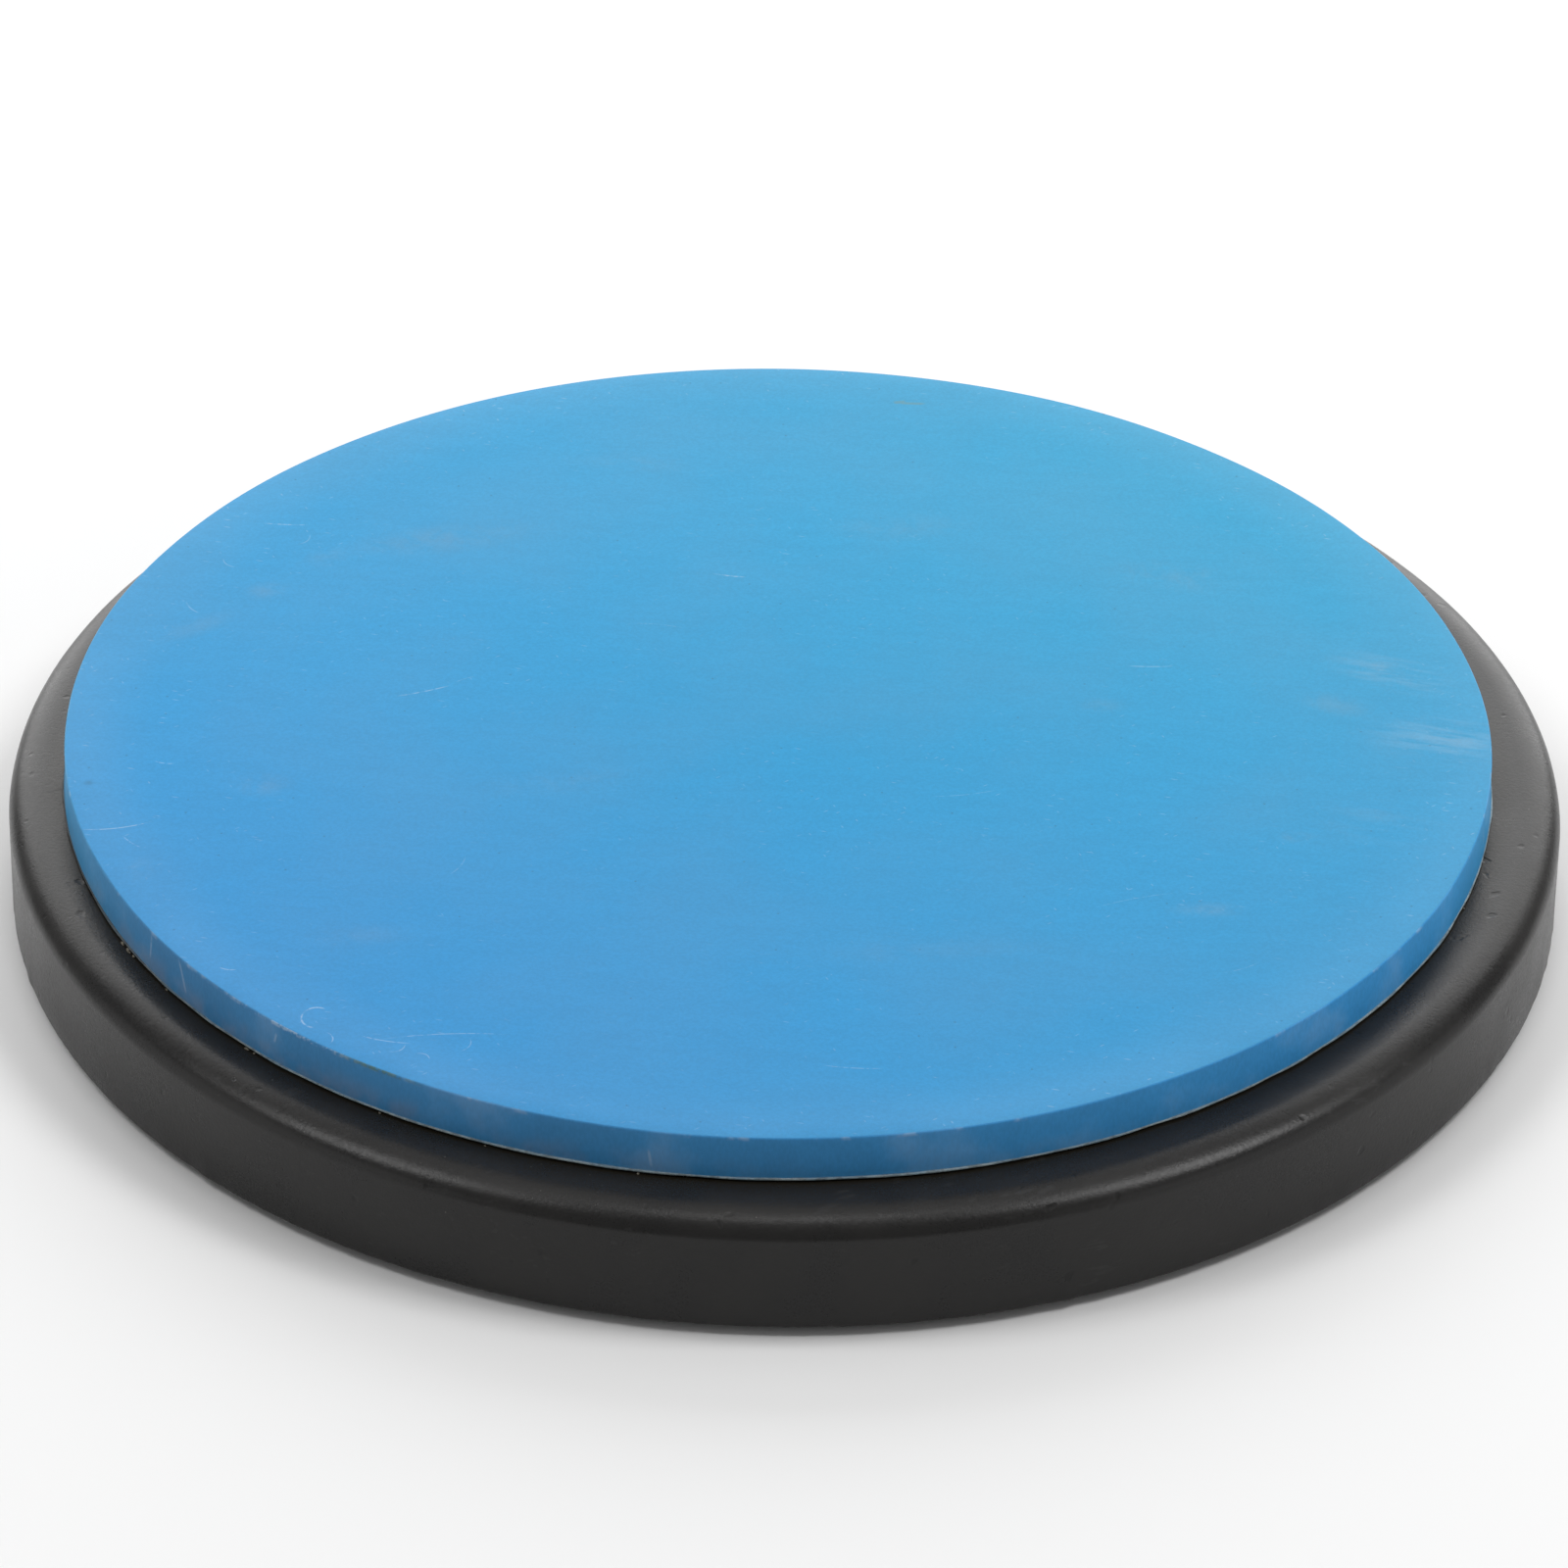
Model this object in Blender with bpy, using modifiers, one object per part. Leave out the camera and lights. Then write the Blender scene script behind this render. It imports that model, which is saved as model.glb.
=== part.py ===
"""A round pad: a dense rubber disc bonded on a moulded base, closed below, on screwed rubber feet.

Metres, +Z up. The origin is the centre of the plane that the feet stand on.
"""

import math

import bmesh
import bpy
from mathutils import Matrix

# Clearances between pieces that touch on the real object.
GAP = 0.0003
FILM_GAP = 0.0001

# Base shell: an inverted tray with a broad, low shoulder round its ledge.
BASE_RADIUS = 0.125
BASE_HEIGHT = 0.019
SHOULDER_WIDTH = 0.00625
SHOULDER_DROP = 0.0037
SHOULDER_STEPS = 7
WALL = 0.003
SEAT_WIDTH = 0.0015
EDGE_BREAK = 0.0004

# Rubber disc and the pale film that bonds it. The disc was laid a little off centre.
PAD_TOP_RADIUS = 0.1147
PAD_FOOT_RADIUS = 0.1150
PAD_THICKNESS = 0.0070
PAD_ARRIS = 0.00035
PAD_OFFSET = (-0.0012, 0.0011)
FILM_RADIUS = 0.1152
FILM_THICKNESS = 0.0004

# Board inside the shell and the plate that closes it from below.
CORE_THICKNESS = 0.009
CORE_CLEARANCE = 0.0005
PLATE_THICKNESS = 0.0025
PLATE_BREAK = 0.0006

# Feet, their screws and the shell's bosses, all on one circle.
FOOT_COUNT = 6
FOOT_CIRCLE = 0.104
FOOT_HEIGHT = 0.005
FOOT_PROUD = 0.0015
FOOT_TOP_RADIUS = 0.0090
FOOT_TREAD_RADIUS = 0.0084
FOOT_ROUND = 0.0007
COUNTERBORE_RADIUS = 0.0045
COUNTERBORE_DEPTH = 0.0032
SCREW_HOLE_RADIUS = 0.0019
BOSS_RADIUS = 0.0045
BOSS_HOLE_RADIUS = 0.0050
PILOT_RADIUS = 0.00165
PILOT_SPARE = 0.0005

# Pan-head self-tapping screw with a cross recess.
SHANK_RADIUS = 0.0015
SHANK_LENGTH = 0.013
POINT_LENGTH = 0.002
HEAD_RADIUS = 0.0036
HEAD_RIM = 0.0012
HEAD_CROWN = 0.0008
HEAD_CROWN_RADIUS = 0.0026
RECESS_LENGTH = 0.0038
RECESS_WIDTH = 0.0008
RECESS_DEPTH = 0.0011

# Heights, from the floor up.
SHELL_EDGE_Z = FOOT_PROUD
LEDGE_Z = SHELL_EDGE_Z + BASE_HEIGHT
PLATE_Z = FOOT_HEIGHT + GAP
CORE_Z = PLATE_Z + PLATE_THICKNESS + GAP
CEILING_Z = CORE_Z + CORE_THICKNESS + GAP
FILM_Z = LEDGE_Z + FILM_GAP
PAD_Z = FILM_Z + FILM_THICKNESS + FILM_GAP
SCREW_Z = COUNTERBORE_DEPTH - GAP

# Facets: the large discs share one count, so their rims run parallel.
DISC_SEGMENTS = 96
FOOT_SEGMENTS = 24
HOLE_SEGMENTS = 20
MERGE_DISTANCE = 0.00001
CREASE_ANGLE = math.radians(35)
# How far a cutting tool runs past the face it opens.
OVERRUN = 0.001

RUBBER_BLUE = (0.075, 0.310, 0.640)
BOND_CREAM = (0.560, 0.600, 0.540)
SHELL_BLACK = (0.022, 0.022, 0.023)
BOARD_TAN = (0.420, 0.290, 0.160)
PLATE_BLACK = (0.030, 0.030, 0.031)
FOOT_BLACK = (0.018, 0.018, 0.018)
STEEL_GREY = (0.560, 0.565, 0.570)


def material(name, colour, roughness, metallic=0.0):
    """A plain Principled material."""
    made = bpy.data.materials.new(name)
    made.use_nodes = True
    shader = made.node_tree.nodes["Principled BSDF"]
    shader.inputs["Base Color"].default_value = (*colour, 1.0)
    shader.inputs["Roughness"].default_value = roughness
    shader.inputs["Metallic"].default_value = metallic
    return made


def collection(name):
    """A new collection under the scene's own."""
    made = bpy.data.collections.new(name)
    bpy.context.scene.collection.children.link(made)
    return made


def frozen_mesh(obj, name):
    """The object's mesh with its modifiers applied, smooth but for its real edges."""
    graph = bpy.context.evaluated_depsgraph_get()
    mesh = bpy.data.meshes.new_from_object(obj.evaluated_get(graph))
    mesh.name = name
    mesh.shade_smooth()
    mesh.set_sharp_from_angle(angle=CREASE_ANGLE)
    return mesh


def turned_mesh(name, profile, segments, ring=False):
    """A profile of (radius, height) points turned about Z. It runs down the outer side.

    An open profile starts and ends on the axis. A ring's last point joins its first.
    """
    count = len(profile)
    edges = [(i, i + 1) for i in range(count - 1)]
    if ring:
        edges.append((count - 1, 0))
    outline = bpy.data.meshes.new(name + "_outline")
    outline.from_pydata([(radius, 0.0, height) for radius, height in profile], edges, [])
    blank = bpy.data.objects.new(name + "_outline", outline)
    bpy.context.scene.collection.objects.link(blank)
    screw = blank.modifiers.new("turn", "SCREW")
    screw.axis = "Z"
    screw.angle = math.tau
    screw.steps = segments
    screw.render_steps = segments
    screw.use_merge_vertices = True
    screw.merge_threshold = MERGE_DISTANCE
    mesh = frozen_mesh(blank, name)
    bpy.data.objects.remove(blank)
    bpy.data.meshes.remove(outline)
    return mesh


def placed(name, mesh, finish, location=(0.0, 0.0, 0.0), turn=0.0):
    """A named sub-part, held by the pad's root empty."""
    part = bpy.data.objects.new(name, mesh)
    if not mesh.materials:
        mesh.materials.append(finish)
    part.location = location
    part.rotation_euler = (0.0, 0.0, turn)
    part.parent = root
    parts.objects.link(part)
    return part


def tool(name, mesh, location=(0.0, 0.0, 0.0)):
    """A solid that shapes a sub-part and isn't one itself."""
    made = bpy.data.objects.new(name, mesh)
    made.location = location
    made.hide_render = True
    made.display_type = "WIRE"
    cutters.objects.link(made)
    return made


def foot_places():
    """The (x, y, angle) of each foot, with one pair of feet square to the front."""
    for index in range(FOOT_COUNT):
        angle = math.tau * (index + 0.5) / FOOT_COUNT
        yield FOOT_CIRCLE * math.cos(angle), FOOT_CIRCLE * math.sin(angle), angle


def pins_tool(name, radius, bottom, top):
    """One upright pin at each foot's place, from height bottom to height top."""
    shape = bmesh.new()
    for x, y, angle in foot_places():
        middle = Matrix.Translation((x, y, (bottom + top) / 2))
        bmesh.ops.create_cone(
            shape,
            cap_ends=True,
            segments=HOLE_SEGMENTS,
            radius1=radius,
            radius2=radius,
            depth=top - bottom,
            matrix=middle @ Matrix.Rotation(angle, 4, "Z"),
        )
    mesh = bpy.data.meshes.new(name)
    shape.to_mesh(mesh)
    shape.free()
    mesh.shade_smooth()
    mesh.set_sharp_from_angle(angle=CREASE_ANGLE)
    return tool(name, mesh)


def slot_tool(name, turn):
    """One bar of the cross recess, sunk into the screw's head from below."""
    shape = bmesh.new()
    size = Matrix.Diagonal((RECESS_LENGTH, RECESS_WIDTH, RECESS_DEPTH + OVERRUN, 1.0))
    bmesh.ops.create_cube(shape, size=1.0, matrix=size)
    mesh = bpy.data.meshes.new(name)
    shape.to_mesh(mesh)
    shape.free()
    crown_z = -(HEAD_RIM + HEAD_CROWN)
    bar = tool(name, mesh, (0.0, 0.0, crown_z + (RECESS_DEPTH - OVERRUN) / 2))
    bar.rotation_euler = (0.0, 0.0, turn)
    return bar


def shape_with(part, operand, operation):
    """Adds or takes away a tool's solid."""
    step = part.modifiers.new(operand.name, "BOOLEAN")
    step.operation = operation
    step.solver = "EXACT"
    step.object = operand


def shoulder():
    """The quarter ellipse from the ledge over to the upright side."""
    for step in range(SHOULDER_STEPS + 1):
        angle = math.pi / 2 * step / SHOULDER_STEPS
        radius = BASE_RADIUS - SHOULDER_WIDTH * (1.0 - math.sin(angle))
        height = LEDGE_Z - SHOULDER_DROP * (1.0 - math.cos(angle))
        yield radius, height


def make_base_shell(finish):
    """Inverted tray: deck, shoulder, wall, the plate's seat, and a boss for each screw."""
    recess_radius = BASE_RADIUS - WALL
    profile = [(0.0, LEDGE_Z)]
    profile += shoulder()
    profile += [
        (BASE_RADIUS, SHELL_EDGE_Z + EDGE_BREAK),
        (BASE_RADIUS - EDGE_BREAK, SHELL_EDGE_Z),
        (recess_radius, SHELL_EDGE_Z),
        (recess_radius, CORE_Z),
        (recess_radius - SEAT_WIDTH, CORE_Z),
        (recess_radius - SEAT_WIDTH, CEILING_Z),
        (0.0, CEILING_Z),
    ]
    shell = placed("base_shell", turned_mesh("base_shell", profile, DISC_SEGMENTS), finish)
    bosses = pins_tool("boss_tool", BOSS_RADIUS, CORE_Z, CEILING_Z + OVERRUN)
    pilot_top = SCREW_Z + SHANK_LENGTH + PILOT_SPARE
    pilots = pins_tool("pilot_tool", PILOT_RADIUS, CORE_Z - OVERRUN, pilot_top)
    shape_with(shell, bosses, "UNION")
    shape_with(shell, pilots, "DIFFERENCE")


def make_core_board(finish):
    """Flat board that stiffens the deck, bored to clear the bosses."""
    radius = BASE_RADIUS - WALL - SEAT_WIDTH - CORE_CLEARANCE
    profile = [(0.0, CORE_THICKNESS), (radius, CORE_THICKNESS), (radius, 0.0), (0.0, 0.0)]
    mesh = turned_mesh("core_board", profile, DISC_SEGMENTS)
    board = placed("core_board", mesh, finish, (0.0, 0.0, CORE_Z))
    top = CORE_Z + CORE_THICKNESS + OVERRUN
    shape_with(board, pins_tool("boss_hole_tool", BOSS_HOLE_RADIUS, CORE_Z - OVERRUN, top), "DIFFERENCE")


def make_bottom_plate(finish):
    """Plate that closes the shell, let in above its lower edge, with a hole for each screw."""
    radius = BASE_RADIUS - WALL - GAP
    profile = [
        (0.0, PLATE_THICKNESS),
        (radius, PLATE_THICKNESS),
        (radius, PLATE_BREAK),
        (radius - PLATE_BREAK, 0.0),
        (0.0, 0.0),
    ]
    mesh = turned_mesh("bottom_plate", profile, DISC_SEGMENTS)
    plate = placed("bottom_plate", mesh, finish, (0.0, 0.0, PLATE_Z))
    top = PLATE_Z + PLATE_THICKNESS + OVERRUN
    shape_with(plate, pins_tool("screw_hole_tool", SCREW_HOLE_RADIUS, PLATE_Z - OVERRUN, top), "DIFFERENCE")


def make_adhesive_sheet(finish):
    """Thin pale film between the deck and the rubber, a hair wider than the rubber."""
    profile = [(0.0, FILM_THICKNESS), (FILM_RADIUS, FILM_THICKNESS), (FILM_RADIUS, 0.0), (0.0, 0.0)]
    mesh = turned_mesh("adhesive_sheet", profile, DISC_SEGMENTS)
    placed("adhesive_sheet", mesh, finish, (*PAD_OFFSET, FILM_Z))


def make_top_pad(finish):
    """Dense rubber disc with a crisp upper arris and a side that spreads a little to its foot."""
    profile = [
        (0.0, PAD_THICKNESS),
        (PAD_TOP_RADIUS - PAD_ARRIS, PAD_THICKNESS),
        (PAD_TOP_RADIUS, PAD_THICKNESS - PAD_ARRIS),
        (PAD_FOOT_RADIUS, 0.0),
        (0.0, 0.0),
    ]
    mesh = turned_mesh("top_pad", profile, DISC_SEGMENTS)
    placed("top_pad", mesh, finish, (*PAD_OFFSET, PAD_Z))


def make_feet(finish):
    """Turned rubber bumpers, counterbored from the floor side to hide the screw's head."""
    profile = [
        (SCREW_HOLE_RADIUS, FOOT_HEIGHT),
        (FOOT_TOP_RADIUS, FOOT_HEIGHT),
        (FOOT_TREAD_RADIUS, FOOT_ROUND),
        (FOOT_TREAD_RADIUS - FOOT_ROUND, 0.0),
        (COUNTERBORE_RADIUS, 0.0),
        (COUNTERBORE_RADIUS, COUNTERBORE_DEPTH),
        (SCREW_HOLE_RADIUS, COUNTERBORE_DEPTH),
    ]
    mesh = turned_mesh("foot", profile, FOOT_SEGMENTS, ring=True)
    for index, (x, y, angle) in enumerate(foot_places(), start=1):
        placed(f"foot_{index}", mesh, finish, (x, y, 0.0), angle)


def screw_mesh():
    """Screw with its head's bearing face at height 0 and its point upwards."""
    profile = [
        (0.0, SHANK_LENGTH),
        (SHANK_RADIUS, SHANK_LENGTH - POINT_LENGTH),
        (SHANK_RADIUS, 0.0),
        (HEAD_RADIUS, 0.0),
        (HEAD_RADIUS, -HEAD_RIM),
        (HEAD_CROWN_RADIUS, -(HEAD_RIM + HEAD_CROWN)),
        (0.0, -(HEAD_RIM + HEAD_CROWN)),
    ]
    blank = tool("screw_blank", turned_mesh("screw_blank", profile, HOLE_SEGMENTS))
    shape_with(blank, slot_tool("recess_tool_1", 0.0), "DIFFERENCE")
    shape_with(blank, slot_tool("recess_tool_2", math.pi / 2), "DIFFERENCE")
    return frozen_mesh(blank, "foot_screw")


def make_foot_screws(finish):
    """One screw up through each foot and the plate into the shell's boss."""
    mesh = screw_mesh()
    for index, (x, y, angle) in enumerate(foot_places(), start=1):
        placed(f"foot_screw_{index}", mesh, finish, (x, y, SCREW_Z), angle)


for leftover in list(bpy.context.scene.objects):
    bpy.data.objects.remove(leftover)

parts = collection("balance_pad")
cutters = collection("cutters")
root = bpy.data.objects.new("balance_pad_root", None)
parts.objects.link(root)

make_base_shell(material("shell_plastic", SHELL_BLACK, 0.45))
make_core_board(material("core_wood", BOARD_TAN, 0.85))
make_bottom_plate(material("plate_plastic", PLATE_BLACK, 0.55))
make_adhesive_sheet(material("bond_film", BOND_CREAM, 0.6))
make_top_pad(material("pad_rubber", RUBBER_BLUE, 0.7))
make_feet(material("foot_rubber", FOOT_BLACK, 0.8))
make_foot_screws(material("screw_steel", STEEL_GREY, 0.35, metallic=1.0))
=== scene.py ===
"""Looks of the round pad: fine meshes, procedural materials, soft studio light and the camera.

Metres, +Z up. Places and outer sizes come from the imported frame's boxes. What the boxes don't give,
such as the shoulder's width and the bosses' radius, repeats the CAD's own measures.
"""

import math

import bmesh
import bpy
from mathutils import Matrix, Vector, noise


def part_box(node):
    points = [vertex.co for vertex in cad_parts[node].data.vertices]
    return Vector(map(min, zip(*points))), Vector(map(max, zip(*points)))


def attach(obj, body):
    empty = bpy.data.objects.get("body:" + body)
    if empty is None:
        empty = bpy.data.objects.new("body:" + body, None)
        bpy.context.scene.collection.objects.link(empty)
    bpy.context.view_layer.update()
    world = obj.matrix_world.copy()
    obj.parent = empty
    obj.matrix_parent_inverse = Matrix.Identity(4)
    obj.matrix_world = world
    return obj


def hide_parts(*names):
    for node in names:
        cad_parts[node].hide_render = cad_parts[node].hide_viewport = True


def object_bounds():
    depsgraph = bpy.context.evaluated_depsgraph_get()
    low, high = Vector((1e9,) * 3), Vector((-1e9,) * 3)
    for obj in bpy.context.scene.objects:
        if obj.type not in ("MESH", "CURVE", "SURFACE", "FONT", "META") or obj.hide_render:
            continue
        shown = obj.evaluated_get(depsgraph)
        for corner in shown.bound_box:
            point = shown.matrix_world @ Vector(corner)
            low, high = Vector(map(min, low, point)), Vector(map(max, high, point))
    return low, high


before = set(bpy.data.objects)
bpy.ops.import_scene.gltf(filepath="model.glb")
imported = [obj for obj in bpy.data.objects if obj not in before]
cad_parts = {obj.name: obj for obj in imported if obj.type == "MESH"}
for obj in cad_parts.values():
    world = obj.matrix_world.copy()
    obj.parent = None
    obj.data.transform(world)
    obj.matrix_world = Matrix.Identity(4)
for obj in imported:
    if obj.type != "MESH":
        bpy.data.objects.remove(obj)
cad_low, cad_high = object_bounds()

MM = 0.001
CREASE = math.radians(32)


# ---------------------------------------------------------------- measures from the frame


def centre_of(node):
    """The middle of a CAD node's box."""
    low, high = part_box(node)
    return (low + high) / 2


def radius_of(node):
    """Half of a round CAD node's width along X."""
    low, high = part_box(node)
    return (high.x - low.x) / 2


shell_low, shell_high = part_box("base_shell")
pad_low, pad_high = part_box("top_pad")
film_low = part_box("adhesive_sheet")[0]
plate_low, plate_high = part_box("bottom_plate")
foot_low, foot_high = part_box("foot_1")
screw_low, screw_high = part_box("foot_screw_1")

CLEARANCE = 0.3 * MM
SHELL_RADIUS = radius_of("base_shell")
SHELL_EDGE_Z = shell_low.z
LEDGE_Z = shell_high.z
SHOULDER_WIDTH = 6.25 * MM
SHOULDER_DROP = 3.7 * MM
SHELL_WALL = SHELL_RADIUS - radius_of("bottom_plate") - CLEARANCE
SEAT_WIDTH = 1.5 * MM
SEAT_Z = plate_high.z + CLEARANCE
CEILING_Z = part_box("core_board")[1].z + CLEARANCE
BOSS_RADIUS = 4.5 * MM
PILOT_RADIUS = 1.65 * MM
SCREW_HOLE_RADIUS = 1.9 * MM

PAD_CENTRE = centre_of("top_pad")
PAD_FOOT_RADIUS = radius_of("top_pad")
PAD_TOP_RADIUS = PAD_FOOT_RADIUS - 0.3 * MM
# The heights of the rubber's two faces above its own middle, where its object sits.
PAD_TOP = pad_high.z - PAD_CENTRE.z
PAD_FOOT = pad_low.z - PAD_CENTRE.z
FILM_RADIUS = radius_of("adhesive_sheet")

FOOT_NODES = sorted(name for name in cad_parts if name.startswith("foot_") and "screw" not in name)
SCREW_NODES = sorted(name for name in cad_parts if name.startswith("foot_screw_"))

ROUND_STEPS = 384
SHELL_STEPS = 720
FOOT_STEPS = 96
SCREW_STEPS = 64
PIN_STEPS = 48


# ---------------------------------------------------------------- mesh helpers


def arc(centre, radius, start, end, steps):
    """Points of an arc in the (radius, height) plane, angles in degrees from +radius."""
    for step in range(steps + 1):
        angle = math.radians(start + (end - start) * step / steps)
        yield centre[0] + radius * math.cos(angle), centre[1] + radius * math.sin(angle)


def turned(name, profile, steps, ring=False, shift=None):
    """A turned closed mesh. The profile runs down the outer side; shift(angle, r, z) may move a point."""
    shape = bmesh.new()
    rings = []
    for radius, height in profile:
        if radius < 1e-7:
            rings.append([shape.verts.new((0.0, 0.0, height))])
            continue
        row = []
        for step in range(steps):
            angle = math.tau * step / steps
            r, z = (radius, height) if shift is None else shift(angle, radius, height)
            row.append(shape.verts.new((r * math.cos(angle), r * math.sin(angle), z)))
        rings.append(row)
    pairs = list(zip(rings, rings[1:]))
    if ring:
        pairs.append((rings[-1], rings[0]))
    for upper, lower in pairs:
        for step in range(steps):
            after = (step + 1) % steps
            if len(upper) == 1:
                shape.faces.new((upper[0], lower[step], lower[after]))
            elif len(lower) == 1:
                shape.faces.new((upper[step], lower[0], upper[after]))
            else:
                shape.faces.new((upper[step], lower[step], lower[after], upper[after]))
    mesh = bpy.data.meshes.new(name)
    shape.to_mesh(mesh)
    shape.free()
    return smooth(mesh)


def smooth(mesh):
    """Smooth shading that keeps the real edges."""
    mesh.shade_smooth()
    mesh.set_sharp_from_angle(angle=CREASE)
    return mesh


def piece(name, mesh, material, location=(0.0, 0.0, 0.0), turn=0.0):
    """A visible piece that rides on the one body."""
    made = bpy.data.objects.new(name, mesh)
    made.location = location
    made.rotation_euler = (0.0, 0.0, turn)
    bpy.context.scene.collection.objects.link(made)
    mesh.materials.clear()
    mesh.materials.append(material)
    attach(made, "root")
    return made


def cut(obj, operand, operation="DIFFERENCE"):
    """Applies an exact Boolean and drops the operand."""
    step = obj.modifiers.new("cut", "BOOLEAN")
    step.operation = operation
    step.solver = "EXACT"
    step.object = operand
    graph = bpy.context.evaluated_depsgraph_get()
    mesh = bpy.data.meshes.new_from_object(obj.evaluated_get(graph))
    obj.modifiers.remove(step)
    old = obj.data
    obj.data = smooth(mesh)
    bpy.data.meshes.remove(old)
    bpy.data.objects.remove(operand)


def loose(name, mesh):
    """An object used only while shaping another."""
    made = bpy.data.objects.new(name, mesh)
    bpy.context.scene.collection.objects.link(made)
    return made


def pins(name, radius, bottom, top):
    """One upright pin at each screw's place, all in one object, from height bottom to top."""
    shape = bmesh.new()
    for node in SCREW_NODES:
        spot = centre_of(node)
        middle = Matrix.Translation((spot.x, spot.y, (bottom + top) / 2))
        bmesh.ops.create_cone(
            shape, cap_ends=True, segments=PIN_STEPS, radius1=radius, radius2=radius,
            depth=top - bottom, matrix=middle,
        )
    mesh = bpy.data.meshes.new(name)
    shape.to_mesh(mesh)
    shape.free()
    return loose(name, smooth(mesh))


# ---------------------------------------------------------------- colours, linear

# Painted light: the face's four blues make one rubber lighter towards the back and change it from left to
# right.
NEAR_LEFT, NEAR_RIGHT = (0.018, 0.236, 0.540), (0.017, 0.258, 0.520)
FAR_LEFT, FAR_RIGHT = (0.028, 0.292, 0.560), (0.022, 0.316, 0.535)
# Painted light: the side's three blues make the cut side lighter towards the right and the back.
SIDE_LEFT, SIDE_RIGHT, SIDE_FAR = (0.046, 0.198, 0.405), (0.038, 0.285, 0.630), (0.055, 0.330, 0.600)
DUST_WARM = (0.36, 0.36, 0.34)
DUST_PALE = (0.50, 0.55, 0.58)
SCUFF_PALE = (0.52, 0.62, 0.72)
GRIT_DARK = (0.02, 0.05, 0.08)
FILM_PALE = (0.24, 0.38, 0.48)

# ---------------------------------------------------------------- material graphs


class Graph:
    """A material's node graph, built a node at a time. Sockets are passed on as values."""

    def __init__(self, name):
        self.material = bpy.data.materials.new(name)
        self.material.use_nodes = True
        self.tree = self.material.node_tree
        self.shader = self.tree.nodes["Principled BSDF"]
        self.point = self.node("ShaderNodeTexCoord").outputs["Object"]

    def node(self, kind, **settings):
        made = self.tree.nodes.new(kind)
        for key, value in settings.items():
            setattr(made, key, value)
        return made

    def feed(self, socket, value):
        if isinstance(value, bpy.types.NodeSocket):
            self.tree.links.new(value, socket)
        elif isinstance(value, tuple) and len(value) == 3 and socket.type == "RGBA":
            socket.default_value = (*value, 1.0)
        else:
            socket.default_value = value

    def math(self, operation, a, b=0.0, c=0.0):
        made = self.node("ShaderNodeMath", operation=operation)
        for index, value in enumerate((a, b, c)):
            self.feed(made.inputs[index], value)
        return made.outputs[0]

    def remap(self, value, low, high, to_low=0.0, to_high=1.0):
        made = self.node("ShaderNodeMapRange", interpolation_type="SMOOTHSTEP")
        for key, number in (("Value", value), ("From Min", low), ("From Max", high),
                            ("To Min", to_low), ("To Max", to_high)):
            self.feed(made.inputs[key], number)
        return made.outputs["Result"]

    def mix(self, share, a, b, blend="MIX"):
        made = self.node("ShaderNodeMix", data_type="RGBA", blend_type=blend)
        colours = [socket for socket in made.inputs if socket.type == "RGBA"]
        self.feed(made.inputs[0], share)
        self.feed(colours[0], a)
        self.feed(colours[1], b)
        return next(socket for socket in made.outputs if socket.type == "RGBA")

    def stretched(self, x, y, z, degrees=0.0):
        """Coordinates that make a pattern x, y and z times as long in those directions."""
        made = self.node("ShaderNodeMapping", vector_type="TEXTURE")
        self.feed(made.inputs["Vector"], self.point)
        made.inputs["Rotation"].default_value = (0.0, 0.0, math.radians(degrees))
        made.inputs["Scale"].default_value = (x, y, z)
        return made.outputs["Vector"]

    def noise(self, size, detail=3.0, rough=0.5, warp=0.0, point=None):
        """Smooth noise whose blobs are about size metres wide, from 0 to 1."""
        made = self.node("ShaderNodeTexNoise")
        self.feed(made.inputs["Vector"], point or self.point)
        made.inputs["Scale"].default_value = 1.0 / size
        made.inputs["Detail"].default_value = detail
        made.inputs["Roughness"].default_value = rough
        made.inputs["Distortion"].default_value = warp
        return made.outputs["Fac"]

    def cells(self, size, point=None, flat=False):
        made = self.node("ShaderNodeTexVoronoi", voronoi_dimensions="2D" if flat else "3D")
        self.feed(made.inputs["Vector"], point or self.point)
        made.inputs["Scale"].default_value = 1.0 / size
        return made

    def specks(self, size, radius, share, flat=False):
        """Small dots: in about a share of the cells of this size, a dot of this radius."""
        made = self.cells(size, flat=flat)
        near = self.remap(made.outputs["Distance"], radius / size * 0.5, radius / size, 1.0, 0.0)
        return self.times(near, self.chosen(made, share))

    def chosen(self, made, share):
        """1 in about a share of a cell pattern's cells, otherwise 0."""
        split = self.node("ShaderNodeSeparateColor")
        self.feed(split.inputs[0], made.outputs["Color"])
        return self.math("LESS_THAN", split.outputs[0], share)

    def local(self, x, y, length, width, degrees):
        """Flat coordinates about (x, y), turned, counted in lengths along and widths across."""
        made = self.node("ShaderNodeMapping", vector_type="TEXTURE")
        self.feed(made.inputs["Vector"], self.point)
        made.inputs["Location"].default_value = (x, y, 0.0)
        made.inputs["Rotation"].default_value = (0.0, 0.0, math.radians(degrees))
        made.inputs["Scale"].default_value = (length, width, 1.0)
        return made.outputs["Vector"]

    def patch(self, x, y, length, width, degrees=0.0):
        """A soft-edged oval at (x, y)."""
        size = self.node("ShaderNodeVectorMath", operation="LENGTH")
        self.feed(size.inputs[0], self.local(x, y, length / 2, width / 2, degrees))
        return self.remap(size.outputs["Value"], 0.0, 1.0, 1.0, 0.0)

    def stroke(self, x, y, length, width, degrees, bow=0.0):
        """A hairline through (x, y). Its ends stand off by bow from its middle."""
        along, across, _ = self.coordinates(self.local(x, y, length / 2, width / 2, degrees))
        bent = self.times(along, along, 2.0 * bow / width)
        offset = self.math("ABSOLUTE", self.math("SUBTRACT", across, bent))
        line = self.remap(offset, 0.3, 1.0, 1.0, 0.0)
        ends = self.remap(self.math("ABSOLUTE", along), 0.5, 1.0, 1.0, 0.0)
        return self.times(line, ends)

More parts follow.
